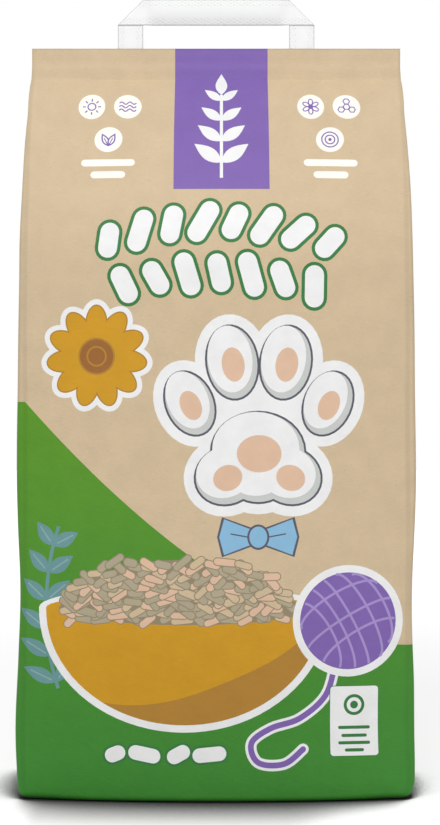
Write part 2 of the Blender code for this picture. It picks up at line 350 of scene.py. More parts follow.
    def round_base(self, across, up):
        """Height of a place below the wall's foot, and how far it turns in under the sack."""
        off = abs(self.wrapped(across))
        from_fold = abs(min(off, 2 * self.quarter - off) - self.panel_width / 2)
        widened = 1 - soft_step(from_fold, 0.002, 0.044)   # rounder near the side folds
        radius = self.base_crease + (self.base_rounding - self.base_crease) * widened
        along = self.wall_foot - up - (self.base_rounding - radius)
        if along <= 0:
            return up, 0.0
        angle = min(along / radius, math.pi / 2)
        past = along - radius * angle
        return self.base_level + radius * (1 - math.sin(angle)), radius * (1 - math.cos(angle)) + past

    def place(self, across, up):
        """The point in space of a place on the sheet."""
        height, inward = up, 0.0
        if up < self.wall_foot:
            height, inward = self.round_base(across, up)
        step = 0.0004
        x, y = self.section_point(across, height)
        ahead_x, ahead_y = self.section_point(across + step, height)
        behind_x, behind_y = self.section_point(across - step, height)
        outward = Vector((ahead_y - behind_y, behind_x - ahead_x)).normalized()
        proud = self.dents(across, height, x, y) + self.lap(across)
        x += outward.x * proud
        y += outward.y * proud
        if inward:
            x *= 1 - inward / self.half_width(height)
            y *= 1 - inward / -self.section_point(0.0, height)[1]
        return Vector((x, y, height))

    def seam_wave(self, x, height):
        """How far the top seam, as one flat sheet, bends out of its plane."""
        above = height - self.seam_foot
        # a bead, the groove over it and the lip that leans forward over both
        bead = bump(above, 0.0062, 0.0048) - 0.6 * bump(above, 0.0112, 0.0040)
        flare = 0.9 * soft_step(above, 0.011, 0.020)
        uneven = 1 + 0.5 * noise.noise(Vector((x / 0.050, 4.2, 0.0)))
        drift = 0.5 * noise.noise(Vector((x / 0.090, 0.7, 0.0))) * soft_step(above, -0.004, 0.010)
        return -self.bead * ((bead + flare) * uneven + drift)


# Flat outlines of the print, in millimetres on the front panel: to the right of its middle, and up

def turned(points, centre, angle):
    """The points, turned about a centre."""
    turn = Matrix.Rotation(angle, 2)
    middle = Vector(centre)
    return [middle + turn @ (Vector(point) - middle) for point in points]


def arc(centre, radii, start, stop, steps):
    """Points along an arc of a circle or an ellipse, from one angle to another."""
    points = []
    for step in range(steps + 1):
        angle = start + (stop - start) * step / steps
        points.append((centre[0] + radii[0] * math.cos(angle), centre[1] + radii[1] * math.sin(angle)))
    return points


def ellipse(centre, radii, turn=0.0, steps=32):
    """An ellipse."""
    return turned(arc(centre, radii, 0, 2 * math.pi, steps)[:-1], centre, turn)


def disc(centre, radius, steps=36):
    """A circle."""
    return ellipse(centre, (radius, radius), steps=steps)


def rounded_box(centre, size, radius, turn=0.0, steps=5):
    """A rectangle with round corners."""
    points = []
    reach = (size[0] / 2 - radius, size[1] / 2 - radius)
    for corner, (right, up) in enumerate(((1, 1), (-1, 1), (-1, -1), (1, -1))):
        middle = (centre[0] + right * reach[0], centre[1] + up * reach[1])
        start = corner * math.pi / 2
        points += arc(middle, (radius, radius), start, start + math.pi / 2, steps)
    return turned(points, centre, turn)


def pellet(centre, size, turn=0.0, margin=0.0):
    """A short rod with round ends, such as a wood pellet shows from its side."""
    wide, high = size[0] + 2 * margin, size[1] + 2 * margin
    return rounded_box(centre, (wide, high), high * 0.499, turn)


def leaf(foot, tip, breadth, steps=9):
    """A pointed leaf between two points."""
    foot, tip = Vector(foot), Vector(tip)
    side = Vector((foot.y - tip.y, tip.x - foot.x)).normalized() * breadth / 2
    points = []
    for sign, start in ((1, 0), (-1, steps)):
        for step in range(steps):
            share = abs(start - step) / steps
            bulge = math.sin(math.pi * share ** 0.85)
            points.append(foot.lerp(tip, share) + side * sign * bulge)
    return points


def curve(knots, steps=7):
    """A smooth path through some points."""
    knots = [Vector(knot) for knot in knots]
    path = []
    for place in range(len(knots) - 1):
        before, start = knots[max(place - 1, 0)], knots[place]
        end, after = knots[place + 1], knots[min(place + 2, len(knots) - 1)]
        for step in range(steps):
            share = step / steps
            bend = (end - before) * share + (2 * before - 5 * start + 4 * end - after) * share ** 2
            bend += (3 * start - before - 3 * end + after) * share ** 3
            path.append(start + bend / 2)
    return path + knots[-1:]


def band(path, width):
    """A strip of even width along a path."""
    path = [Vector(point) for point in path]
    left, right = [], []
    for place, point in enumerate(path):
        along = path[min(place + 1, len(path) - 1)] - path[max(place - 1, 0)]
        side = Vector((-along.y, along.x)).normalized() * width / 2
        left.append(point + side)
        right.append(point - side)
    return left + right[::-1]


class PrintDesign:
    """Outlines stamped on the sheet in order, each in one ink."""

    def __init__(self, tube):
        self.tube = tube
        self.scatter = random.Random(tube.pellet_seed)
        self.stamps = []

    def stamp(self, ink, outline, scale=0.001):
        """Lays an outline over what is there, anticlockwise and with no long edges."""
        corners = [Vector(point) * scale for point in outline]
        if sum(a.cross(b) for a, b in zip(corners, corners[1:] + corners[:1])) < 0:
            corners.reverse()
        fine = []
        for start, end in zip(corners, corners[1:] + corners[:1]):
            steps = math.ceil((end - start).length / self.tube.facet * 1.4)
            fine += [start.lerp(end, step / steps) for step in range(steps)]
        self.stamps.append((ink, fine))

    def layered(self, shapes, *layers):
        """Lays shapes that take a margin, once for each (margin, ink)."""
        for margin, ink in layers:
            for outline in shapes(margin):
                self.stamp(ink, outline)

    def circles(self, centre, *rings, steps=36):
        """Lays discs on one centre, each (radius, ink)."""
        self.layered(lambda radius: [disc(centre, radius, steps)], *rings)

    def rod(self, centre, size, lean, border, edge="deep_green", ink="white"):
        """A pellet with a border."""
        self.layered(lambda margin: [pellet(centre, size, lean, margin)], (border, edge), (0, ink))

    def ground_edge(self, across):
        """Height of the ground's edge, which sweeps down to the right on the front."""
        width = self.tube.panel_width
        high, low = 0.247, 0.0965
        across = self.tube.wrapped(across)
        if abs(across) <= width / 2:
            risen = (width / 2 - across) / width
        elif abs(across) <= width / 2 + self.tube.gusset_width:
            risen = 0.0 if across > 0 else 1.0
        else:
            turned_back = across if across > 0 else across + 4 * self.tube.quarter
            risen = (turned_back - width / 2 - self.tube.gusset_width) / width
        return low + (high - low) * risen ** 1.75

    def ground(self):
        """The green ground, round the whole sack."""
        tube = self.tube
        top = [(across, self.ground_edge(across)) for across in reversed(sheet_columns(tube))]
        past = 2 * tube.facet
        left, right, foot = tube.left_end - past, tube.right_end + past, tube.lowest - past
        feet = [(left, top[-1][1]), (left, foot), (right, foot), (right, top[0][1])]
        self.stamp("green", feet + top, 1.0)

    def purple_field(self, middle):
        """The purple field under the seam, with a white sprig."""
        left, right = middle - 30.0, middle + 30.0
        foot, top = 378.6, self.tube.height * 1000 + 5
        self.stamp("purple", ((left, foot), (right, foot), (right, top), (left, top)))
        self.sprig((middle, 386), 74, 19, "white")

    def sprig(self, foot, rise, reach, ink):
        """A stem with paired leaves that get shorter towards its tip."""
        tip = (foot[0], foot[1] + rise - reach * 0.8)
        self.stamp(ink, band((foot, tip), 2.0))
        pairs = 4
        for pair in range(pairs):
            share = (pair + 0.7) / pairs
            knee = (foot[0], foot[1] + (tip[1] - foot[1]) * share)
            size = reach * (1.12 - 0.14 * pair)
            for side in (-1, 1):
                end = (knee[0] + side * size * 0.80, knee[1] + size * 0.60)
                self.stamp(ink, leaf(knee, end, size * 0.42))
        self.stamp(ink, leaf(tip, (foot[0], foot[1] + rise), reach * 0.40))

    def discs(self):
        """Three cream discs on each side of the field, with plain signs and bars."""
        signs = (self.sun, self.waves, self.leaves, self.blossom_sign, self.honeycomb, self.rings)
        places = ((-11.5, 436), (11.5, 436), (0, 412.5))
        for side, shown in ((-1, signs[:3]), (1, signs[3:])):
            middle = side * 70 + 2
            for (off, up), sign in zip(places, shown):
                centre = (middle + off, up)
                self.stamp("cream", ellipse(centre, (9.0, 8.6), 0.5 + off))
                sign(centre)
            for wide, up in ((34, 396.5), (22, 388.5)):
                self.stamp("cream", pellet((middle, up), (wide, 4.6)))

    def sun(self, centre):
        self.circles(centre, (2.9, "purple"), (2.1, "cream"))
        middle = Vector(centre)
        for ray in range(8):
            angle = ray * math.pi / 4
            out = Vector((math.cos(angle), math.sin(angle)))
            self.stamp("purple", band((middle + out * 3.9, middle + out * 5.8), 0.8))

    def waves(self, centre):
        shares = [step / 8 - 1 for step in range(17)]
        for row in (-2.6, 0, 2.6):
            middle = centre[1] + row
            path = [(centre[0] + 5.4 * share, middle + 0.9 * math.sin(share * 6.3)) for share in shares]
            self.stamp("purple", band(path, 0.8))

    def leaves(self, centre):
        for tilt in (0.45, -0.45):
            up = Matrix.Rotation(tilt, 2) @ Vector((0, 1))
            middle = Vector(centre) - Vector((0, 4.6))
            self.stamp("purple", leaf(middle, middle + up * 9.8, 4.6))
            self.stamp("cream", leaf(middle + up * 1.3, middle + up * 8.2, 2.8))
            self.stamp("purple", band((middle, middle + up * 6.2), 0.6))

    def blossom_sign(self, centre):
        for petal in range(6):
            turn = petal * math.pi / 3
            middle = Vector(centre) + Matrix.Rotation(turn, 2) @ Vector((0, 3.4))
            self.stamp("purple", ellipse(middle, (1.7, 2.5), turn, 20))
            self.stamp("cream", ellipse(middle, (1.0, 1.8), turn, 16))
        self.stamp("purple", disc(centre, 1.3, 18))

    def honeycomb(self, centre):
        cells = [Vector(centre)]
        for cell in range(3):
            cells.append(Vector(centre) + Matrix.Rotation(cell * 2.0944, 2) @ Vector((0, 4.0)))
        for cell in cells:
            self.stamp("purple", ellipse(cell, (2.5, 2.5), 0.0, 6))
            self.stamp("cream", ellipse(cell, (1.75, 1.75), 0.0, 6))

    def rings(self, centre):
        self.circles(centre, (5.6, "purple"), (4.8, "cream"), (3.4, "purple"), (2.6, "cream"))
        self.stamp("purple", disc(centre, 1.1, 16))

    def arched_pellets(self):
        """Two arched rows of slanting white pellets with green outlines."""
        for crest, fall, slant, lengths in (
            (358, 0.0026, 1.18, (22, 27, 24, 28, 23, 27, 25, 22)),
            (326, 0.0022, -1.18, (24, 22, 27, 24, 28, 23, 26)),
        ):
            for place, size in enumerate(lengths):
                across = (place - (len(lengths) - 1) / 2) * 19.6 + 2
                lean = slant + math.atan(-2 * fall * across) + self.scatter.uniform(-0.20, 0.20)
                self.rod((across, crest - fall * across * across), (size, 11.8), lean, 2.1)

    def tub(self):
        """A golden half-round tub with a white border, heaped with wood pellets."""
        middle, rim, reach, depth = -20.0, 120.0, 86.0, 72.0

        def half_round(margin):
            body = arc((middle, rim), (reach + margin, depth + margin), math.pi, 2 * math.pi, 40)
            lip = arc((middle, rim), (reach + margin, 9.0 + margin), 0, math.pi, 24)
            yield body + lip[1:-1]

        self.layered(half_round, (4.5, "white"), (0, "gold"))
        self.stamp("dark_pellet", arc((middle - 4, rim - 4), (70, 34), 0, math.pi, 30))
        outer = arc((middle, rim), (reach, depth), math.pi * 1.30, math.pi * 1.99, 40)
        inner = []
        for place, (across, up) in enumerate(outer):
            taper = 1 - 0.30 * math.sin(math.pi * place / 40)
            inner.append((middle + (across - middle) * taper, rim + (up - rim) * taper))
        self.stamp("dark_gold", outer + inner[-2:0:-1])
        self.stamp("dark_pellet", ellipse((middle, rim), (reach - 8, 10)))
        for row in range(13):
            up = rim - 7 + row * 2.9
            room = 74 * math.sqrt(max(0.0, 1 - ((up - rim) / 35) ** 2)) - 5
            across = middle - 3 - room
            while across < middle - 3 + room:
                size = (self.scatter.uniform(8, 14), self.scatter.uniform(3.6, 4.6))
                lean = self.scatter.uniform(-0.9, 0.9)
                ink = self.scatter.choice(("pellet", "pellet", "kraft", "peach"))
                spot = (across, up + self.scatter.uniform(-1.2, 1.2))
                self.rod(spot, size, lean, 0.6, "dark_pellet", ink)
                across += self.scatter.uniform(8, 12)

    def paw_print(self):
        """A large white paw print with grey shade, peach pads and a charcoal outline."""
        middle, size = Vector((26, 214)), 1.14
        toes = (
            (Vector((-37, 28)), (12.5, 17.5), 0.42),
            (Vector((-14, 50)), (13.5, 19.5), 0.14),
            (Vector((15, 50)), (13.5, 19.5), -0.14),
            (Vector((38, 28)), (12.5, 17.5), -0.42),
        )
        pads = (
            (Vector((0, 2)), (25, 21), 0.0),
            (Vector((-17, -11)), (17, 15), 0.35),
            (Vector((17, -11)), (17, 15), -0.35),
            (Vector((0, -13)), (16, 12), 0.0),
        )

        def shapes(margin, shift=Vector((0, 0)), share=1.0):
            for off, radii, turn in toes + pads:
                grown = (radii[0] * size * share + margin, radii[1] * size * share + margin)
                yield ellipse(middle + off * size + shift, grown, turn)

        self.stamp("white", disc(middle + Vector((0, 30)), 14))
        self.layered(shapes, (7.5, "white"), (1.3, "charcoal"), (0, "grey"))
        up_left = Vector((-1.4, 2.2))
        for outline in shapes(-1.6, up_left):
            self.stamp("white", outline)
        for outline in list(shapes(-1.0, Vector((0.6, -1.2)), 0.52))[:-1]:
            self.stamp("peach", outline)
        self.bow(middle + Vector((0, -50)))

    def bow(self, knot):
        """A light blue bow under the paw print."""
        layers = ((1.3, "charcoal"), (0, "sky"))
        for side in (-1, 1):
            for margin, ink in layers:
                wide, high, mouth = side * (21 + margin), 11 + margin, 3 + margin
                end = side * (24 + margin)
                loop = ((0, mouth), (wide, high), (end, 0), (wide, -high), (0, -mouth))
                self.stamp(ink, [knot + Vector(off) for off in loop])
            crease = (knot + Vector((side * 6, 0)), knot + Vector((side * 17, 2)))
            self.stamp("charcoal", band(crease, 0.8))
        self.layered(lambda margin: [ellipse(knot, (5.5 + margin, 6.5 + margin))], *layers)

    def ball(self):
        """A purple ball of yarn with lighter strands and a loose tail."""
        centre, radius = Vector((82, 112)), 30.0
        tail = curve(((74, 86), (68, 66), (52, 52), (34, 46), (22, 37), (26, 25), (42, 24), (54, 33)))
        for wide, ink in ((7.0, "white"), (3.6, "purple")):
            self.stamp(ink, band(tail, wide))
            self.stamp(ink, disc(tail[-1], wide / 2, 20))
        self.circles(centre, (radius + 4.5, "white"), (radius, "purple"), steps=56)
        for turn, bows in ((0.5, (-19, -10, 0, 10, 19)), (2.1, (-14, 0, 14))):
            for off in bows:
                reach = math.sqrt(radius * radius - off * off) + 1.5
                path = arc((off, 0), (6 + abs(off) * 0.2, reach), -math.pi / 2, math.pi / 2, 48)
                strand = [centre + Matrix.Rotation(turn, 2) @ Vector((x - 3, y)) * 0.97 for x, y in path]
                inside = [point for point in strand if (point - centre).length < radius - 0.3]
                self.stamp("light_purple", band(inside, 1.5))

    def garland(self):
        """Teal leaves on a curved stem, up the left side of the ground."""
        stem = arc((-40, 120), (66, 104), math.pi * 1.16, math.pi * 0.84, 24)
        self.stamp("teal", band(stem, 2.2))
        for place in range(1, len(stem), 4):
            knee = Vector(stem[place])
            along = (Vector(stem[min(place + 1, len(stem) - 1)]) - Vector(stem[place - 1])).normalized()
            for side in (-1, 1):
                out = Matrix.Rotation(side * 0.85, 2) @ along
                size = 23 - place * 0.25
                self.stamp("teal", leaf(knee, knee + out * size, 9.0))
                self.stamp("light_teal", band((knee + out * 3, knee + out * size * 0.8), 0.9))

    def blossom(self):
        """A golden blossom with a white border, on bare paper at the left."""
        middle = Vector((-74, 275))
        petals = 11

        def shapes(margin):
            for petal in range(petals):
                turn = petal * 2 * math.pi / petals
                out = Matrix.Rotation(turn, 2) @ Vector((0, 19.5))
                yield ellipse(middle + out, (6.2 + margin, 11.5 + margin), turn)

        self.layered(shapes, (4.2, "white"), (0.9, "dark_gold"), (0, "gold"))
        self.circles(middle, (11.5, "dark_gold"), (10.4, "brown"), (6.4, "dark_gold"), (5.2, "brown"))

    def plate(self):
        """A plain white plate with rounded corners and green bars."""
        middle = (86, 50)
        self.stamp("deep_green", rounded_box(middle, (31, 44), 2.4))
        self.stamp("white", rounded_box(middle, (30, 43), 2.0))
        self.circles((86, 60), (6.5, "deep_green"), (4.6, "white"), (2.4, "deep_green"))
        for up, wide in ((46, 20), (41, 16), (36.5, 20), (32, 12)):
            self.stamp("deep_green", pellet((86, up), (wide, 2.0)))

    def bottom_row(self):
        """A short row of white pellets with green outlines near the base."""
        for across, size, lean in ((-62, 13, 0.4), (-44, 20, -0.2), (-23, 15, 0.5), (-4, 21, 0.1)):
            self.rod((across, 30), (size, 9.0), lean, 1.5)

    def back(self, middle):
        """The back: the same field, a row of signs and a plate of bars."""
        self.purple_field(middle)
        for place, sign in enumerate((self.leaves, self.waves, self.rings, self.sun)):
            centre = (middle + (place - 1.5) * 33, 344)
            self.stamp("cream", ellipse(centre, (9.4, 9.0), place))
            sign(centre)
            self.stamp("cream", pellet((centre[0], 327), (20, 4.2)))
        self.stamp("deep_green", rounded_box((middle, 250), (131, 101), 6.5))
        self.stamp("cream", rounded_box((middle, 250), (129, 99), 5.5))
        self.stamp("purple", pellet((middle, 287), (78, 7.5)))
        for row, wide in enumerate((106, 112, 98, 109, 60)):
            self.stamp("deep_green", pellet((middle - 56 + wide / 2, 272 - 10.5 * row), (wide, 3.2)))
        for place in range(3):
            centre = (middle + 14 + 15 * place, 213)
            self.stamp("deep_green", pellet(centre, (12, 7.2), 0.4 - 0.3 * place))

    def draw(self):
        """The whole print, from the ground up."""
        self.ground()
        for side in (-1, 1):   # at both ends of the sheet, which meet within the back's print
            self.back(side * 2000 * self.tube.quarter)
        self.purple_field(3.4)
        self.discs()
        self.arched_pellets()
        self.garland()
        self.blossom()
        self.tub()
        self.paw_print()
        self.ball()
        self.plate()
        self.bottom_row()
        return self.stamps


# Sheet, sack and handle as meshes

def spaced(stops):
    """Places along a line, evenly spaced between (place, spacing up to there) stops."""
    places = [stops[0][0]]
    for (low, _), (high, spacing) in zip(stops, stops[1:]):
        steps = max(1, round((high - low) / spacing))
        places += [low + (high - low) * step / steps for step in range(1, steps + 1)]
    return places


def sheet_columns(tube):
    """Where the sheet's columns of vertices lie: closer at the side folds and creases."""
    fold = tube.panel_width / 2
    step = tube.facet
    quarter = spaced((
        (0.0, step),
        (fold - 0.0015, step),
        (fold + 0.0020, 0.0004),
        (fold + 0.0080, 0.00075),
        (tube.quarter - 0.0032, step),
        (tube.quarter, 0.0008),
    ))
    half = quarter + [2 * tube.quarter - place for place in reversed(quarter[:-1])]
    places = set()
    for place in half:
        for across in (place, -place):
            if across > tube.right_end:
                across -= 4 * tube.quarter
            elif across < tube.left_end:
                across += 4 * tube.quarter
            places.add(round(across, 6))
    inner = [p for p in sorted(places) if tube.left_end + 0.001 < p < tube.right_end - 0.001]
    return [tube.left_end] + inner + [tube.right_end]


def sheet_rows(tube):
    """Heights of the sheet's rows: closer round the base and in the seam."""
    return spaced((
        (tube.lowest, tube.facet),
        (tube.wall_foot, tube.base_crease * 0.36),
        (tube.seam_foot - 0.004, tube.facet),
        (tube.height, 0.0010),
    ))


def printed_sheet(tube, stamps, inks):
    """The flat sheet as a bmesh, with the print's outlines as edges between its inks."""
    columns, rows = sheet_columns(tube), sheet_rows(tube)
    points = [Vector((across, up)) for up in rows for across in columns]
    wide, top = len(columns), (len(rows) - 1) * len(columns)
    borders = []
    for place in range(wide - 1):
        borders += [(place, place + 1), (top + place, top + place + 1)]
    for start in range(0, top, wide):
        borders += [(start, start + wide), (start + wide - 1, start + 2 * wide - 1)]
    outlines = []
    for _, outline in stamps:
        outlines.append(list(range(len(points), len(points) + len(outline))))
        points += outline
    merge = 1e-6
    flat, _, triangles, _, _, covers = delaunay_2d_cdt(points, borders, outlines, 0, merge, True)
    bm = bmesh.new()
    sheet_map = bm.loops.layers.uv.new("Sheet")
    verts = [bm.verts.new((point.x, point.y, 0.0)) for point in flat]
    for corners, cover in zip(triangles, covers):
        middle = sum((flat[corner] for corner in corners), Vector((0, 0))) / 3
        if not (columns[0] < middle.x < columns[-1] and rows[0] < middle.y < rows[-1]):
            continue
        face = bm.faces.new([verts[corner] for corner in corners])
        ink = stamps[max(cover)][0] if cover else "kraft"
        face.material_index = inks.index(ink)
        for loop in face.loops:
            loop[sheet_map].uv = loop.vert.co.xy
    spare = [vert for vert in bm.verts if not vert.link_faces]
    bmesh.ops.delete(bm, geom=spare, context="VERTS")
    bmesh.ops.remove_doubles(bm, verts=bm.verts, dist=4 * merge)
    return bm, sheet_map


def bake_place(tube, across, up):
    """Place on the baked map: the front panel gets half of its width, and a strip at its
    foot is left for the base and the top edge."""
    half = tube.panel_width / 2
    side = 4 * tube.quarter - tube.panel_width
    left = -half - tube.left_end
    top = 0.12 + 0.87 * (up - tube.lowest) / (tube.height - tube.lowest)
    if across < -half:
        return 0.005 + 0.49 * (across - tube.left_end) / side, top
    if across <= half:
        return 0.005 + 0.49 * left / side + 0.50 * (across + half) / (2 * half), top
    return 0.505 + 0.49 * (across - half + left) / side, top


def open_edges(bm, axis, level):
    """Open edges that lie at a level along an axis."""
    edges = []
    for edge in bm.edges:
        if edge.is_boundary and all(abs(vert.co[axis] - level) < 1e-5 for vert in edge.verts):
            edges.append(edge)
    return edges


def of_type(items, kind):
    """The items of a bmesh result that are of one kind."""
    return [item for item in items if isinstance(item, kind)]


def face_corners(bm):
    """The corners of all faces."""
    return (loop for face in bm.faces for loop in face.loops)


def cut_by_plane(bm, faces, place, normal):
    """Cuts some faces by a plane, and gives all that come of them."""
    edges = dict.fromkeys(edge for face in faces for edge in face.edges)
    verts = dict.fromkeys(vert for face in faces for vert in face.verts)
    geom = [*faces, *edges, *verts]
    cut = bmesh.ops.bisect_plane(bm, geom=geom, plane_co=place, plane_no=normal)
    return of_type(cut["geom"], bmesh.types.BMFace)


def shifted_down(bm, faces, depth):
    """Moves some faces down, joined to the rest by walls, and gives them."""
    moved = bmesh.ops.extrude_face_region(bm, geom=faces)["geom"]
    bmesh.ops.delete(bm, geom=faces, context="FACES")
    bmesh.ops.translate(bm, verts=of_type(moved, bmesh.types.BMVert), vec=(0, 0, -depth))
    return of_type(moved, bmesh.types.BMFace)


def close_lap(bm, tube, edges, sheet_map, bake_map):
    """Joins the tube's two free edges with the small step of the glued lap."""
    for face in bmesh.ops.bridge_loops(bm, edges=edges)["faces"]:
        beside = [other for edge in face.edges for other in edge.link_faces if other != face]
        face.material_index = min(other.material_index for other in beside)
        for loop in face.loops:
            place = (tube.right_end, loop.vert.co.z)
            loop[sheet_map].uv = place
            loop[bake_map].uv = bake_place(tube, *place)


def close_top(bm, tube, tape):
    """Closes the seam's cut edge: a rim of paper round a recess with the legs' pockets."""
    rim, recess = 0.00028, 0.0010
    floor = bmesh.ops.edgeloop_fill(bm, edges=open_edges(bm, 2, tube.height))["faces"]
    bmesh.ops.inset_region(bm, faces=floor, thickness=rim, depth=-recess, use_even_offset=True)
    leg = (tape.width - tape.tape_width) / 2
    reach = tape.tape_width / 2 + tape.clearance
    depth = tape.thickness / 2 + tape.clearance
    for side in (-1, 1):
        for end in (-1, 1):
            floor = cut_by_plane(bm, floor, (side * leg + end * reach, 0, 0), (1, 0, 0))
    for side in (-1, 1):
        floor = cut_by_plane(bm, floor, (0, side * depth, 0), (0, 1, 0))
    pockets = []
    for face in floor:
        middle = face.calc_center_median()
        if abs(middle.y) < depth and abs(abs(middle.x) - leg) < reach:
            pockets.append(face)
    shifted_down(bm, pockets, tape.tuck + tape.clearance)


def inside(point, corners):
    """Whether a flat point lies inside a convex outline that runs either way round."""
    signs = set()
    for (ax, ay), (bx, by) in zip(corners, corners[1:] + corners[:1]):
        signs.add((bx - ax) * (point[1] - ay) - (by - ay) * (point[0] - ax) > 0)
    return len(signs) == 1


def close_base(bm, tube, ink):
    """Closes the base and folds its two long flaps over, the front one last.

    A flap runs from its fold, where it is as wide as the base, to past the middle.
    """
    floor = bmesh.ops.edgeloop_fill(bm, edges=open_edges(bm, 2, tube.base_level))["faces"]
    for face in floor:
        face.material_index = ink
    fold = -tube.section_point(0.0, tube.base_level)[1] - tube.base_crown - tube.base_rounding
    half = tube.base_width / 2 - tube.base_rounding - tube.flap_inset
    narrowed = half - fold - tube.flap_overlap
    flaps = []
    for side in (1, -1):
        past = -side * tube.flap_overlap
        flaps.append([(-half, side * fold), (half, side * fold), (narrowed, past), (-narrowed, past)])
    for flap in flaps:
        for (ax, ay), (bx, by) in zip(flap, flap[1:] + flap[:1]):
            floor = cut_by_plane(bm, floor, (ax, ay, 0), (by - ay, ax - bx, 0))
    for flap in flaps:
        faces = [face for face in floor if inside(face.calc_center_median().xy, flap)]
        rest = [face for face in floor if face not in faces]
        floor = rest + shifted_down(bm, faces, tube.paper_step)


def linked_object(name, bm, materials, sharp_angle):
    """A finished mesh as an object of the scene, smooth except at its sharp edges."""
    mesh = bpy.data.meshes.new(name)
    bm.to_mesh(mesh)
    bm.free()
    for material in materials:
        mesh.materials.append(material)
    mesh.shade_smooth()
    mesh.set_sharp_from_angle(angle=sharp_angle)
    piece = bpy.data.objects.new(name, mesh)
    bpy.context.scene.collection.objects.link(piece)
    return piece


# Materials

class Nodes:
    """Adds nodes to a shader tree. A value is an output to link or a plain value to set."""

    def __init__(self, tree):
        self.tree = tree

    def feed(self, node, sockets):
        """Links or sets the inputs of a node."""
        for label, value in sockets.items():
            if isinstance(value, bpy.types.NodeSocket):
                self.tree.links.new(value, node.inputs[label])
            else:
                node.inputs[label].default_value = value

    def add(self, kind, sockets=None, **settings):
        """The outputs of a new node."""
        node = self.tree.nodes.new(kind)
        for name, value in settings.items():
            setattr(node, name, value)
        self.feed(node, sockets or {})
        return node.outputs

    def math(self, operation, *values):
        """A Math node's result."""
        return self.add("ShaderNodeMath", dict(enumerate(values)), operation=operation)["Value"]

    def mix(self, share, first, second, blend="MIX"):
        """A colour between two colours."""
        sockets = {"Factor": share, "A": first, "B": second}
        return self.add("ShaderNodeMix", sockets, data_type="RGBA", blend_type=blend)["Result"]

    def noise(self, place, scale, detail=2.0, roughness=0.5):
        """A Noise Texture's value."""
        sockets = {"Vector": place, "Scale": scale, "Detail": detail, "Roughness": roughness}
        return self.add("ShaderNodeTexNoise", sockets)["Fac"]

    def grain(self, place, turn, scale, detail=2.0, roughness=0.5):
        """Noise that runs one way, by a place that is turned and scaled."""
        sockets = {"Vector": place, "Rotation": (0, 0, turn), "Scale": scale}
        run = self.add("ShaderNodeMapping", sockets)["Vector"]
        return self.noise(run, 1.0, detail, roughness)

    def ramp(self, value, low, high, start=0.0, end=1.0):
        """A value mapped smoothly from one range to another."""
        sockets = {"Value": value, "From Min": low, "From Max": high, "To Min": start, "To Max": end}
        return self.add("ShaderNodeMapRange", sockets, interpolation_type="SMOOTHSTEP")["Result"]

    def split(self, place):
        """The X, Y and Z of a place."""
        return self.add("ShaderNodeSeparateXYZ", {"Vector": place})

    def grey(self, value):
        """A grey as bright as the value."""
        sockets = {"Red": value, "Green": value, "Blue": value}
        return self.add("ShaderNodeCombineColor", sockets)["Color"]

    def relief(self, height):
        """The normal of a surface raised by a height in metres."""
        return self.add("ShaderNodeBump", {"Distance": 1.0, "Height": height})["Normal"]

    def seen_directly(self):
        """1 for rays from the camera, and for what a mirror or a glass shows."""
        path = self.add("ShaderNodeLightPath")
        seen = self.math("ADD", path["Is Camera Ray"], path["Is Glossy Ray"])
        return self.math("MINIMUM", self.math("ADD", seen, path["Is Transmission Ray"]), 1.0)


